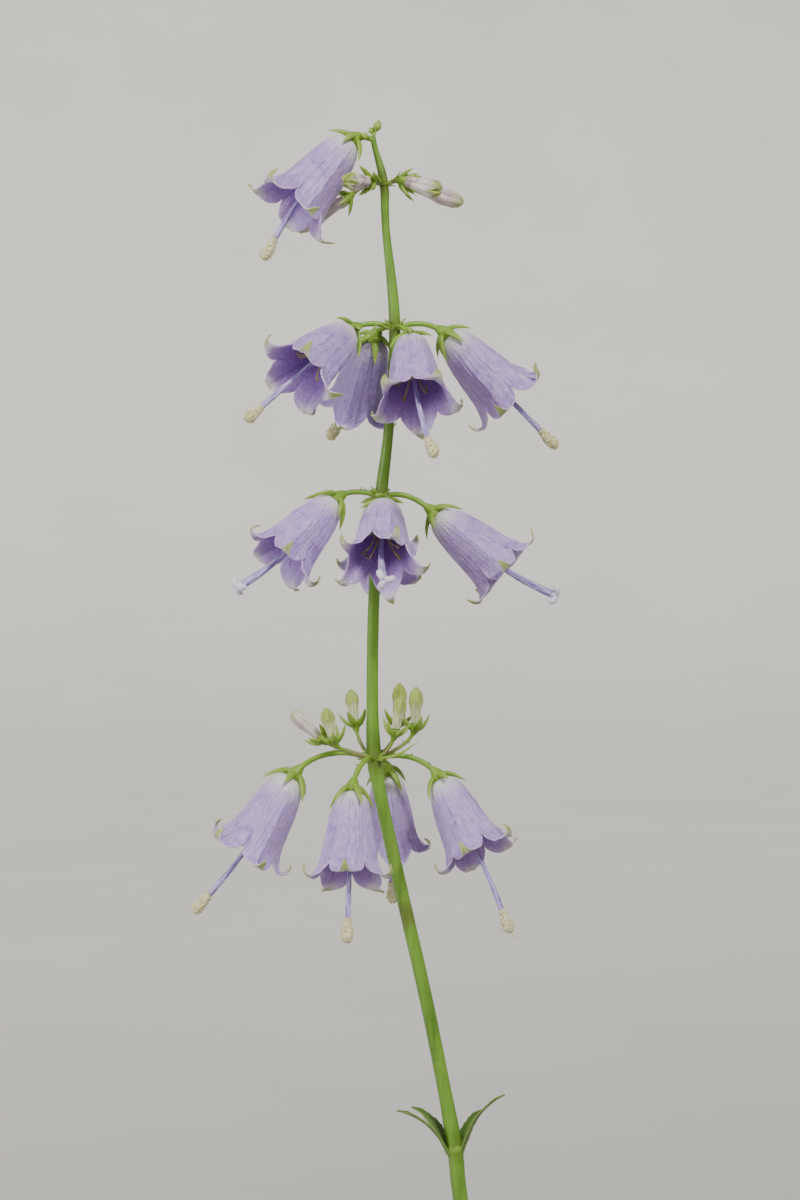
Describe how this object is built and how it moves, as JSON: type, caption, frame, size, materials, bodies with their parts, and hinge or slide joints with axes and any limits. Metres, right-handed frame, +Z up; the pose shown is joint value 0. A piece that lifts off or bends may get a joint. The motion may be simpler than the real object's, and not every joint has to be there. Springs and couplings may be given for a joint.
{
  "type": "ladybell flower stem in bud vase",
  "caption": "Cut ladybell stem with whorls of nodding lilac bells, buds and long styles, leaning in a slim clear glass bud vase part filled with water.",
  "frame": {"origin": "centre of the vase's foot, on the surface it stands on", "axes": "+Z up along the vase's axis, +X to the right of the flower's front, +Y away from a person who faces that front"},
  "size_m": [0.0899, 0.0613, 0.3682],
  "materials": {
    "glass": "gloss",
    "water": "gloss",
    "stem": "satin",
    "petal": "satin",
    "style": "satin",
    "pollen": "matte",
    "stigma": "satin",
    "bud": "satin"
  },
  "bodies": {
    "root": {"vase": "glass", "water": "water", "flower_stalk": "stem", "corolla_1a": "petal", "style_1a": "style", "pollen_1a": "pollen", "corolla_2a": "petal", "style_2a": "style", "pollen_2a": "pollen", "corolla_2b": "petal", "style_2b": "style", "pollen_2b": "pollen", "corolla_2c": "petal", "style_2c": "style", "pollen_2c": "pollen", "corolla_2d": "petal", "style_2d": "style", "pollen_2d": "pollen", "corolla_3a": "petal", "style_3a": "style", "stigma_3a": "stigma", "corolla_3b": "petal", "style_3b": "style", "stigma_3b": "stigma", "corolla_3c": "petal", "style_3c": "style", "stigma_3c": "stigma", "corolla_3d": "petal", "style_3d": "style", "stigma_3d": "stigma", "corolla_4a": "petal", "style_4a": "style", "pollen_4a": "pollen", "corolla_4b": "petal", "style_4b": "style", "pollen_4b": "pollen", "corolla_4c": "petal", "style_4c": "style", "pollen_4c": "pollen", "corolla_4d": "petal", "style_4d": "style", "pollen_4d": "pollen", "bud_1a": "bud", "bud_1b": "bud", "bud_1c": "bud", "bud_1d": "bud", "bud_4a": "bud", "bud_4b": "bud", "bud_4c": "bud", "bud_4d": "bud", "bud_4e": "bud", "bud_4f": "bud"}
  },
  "joints": []
}
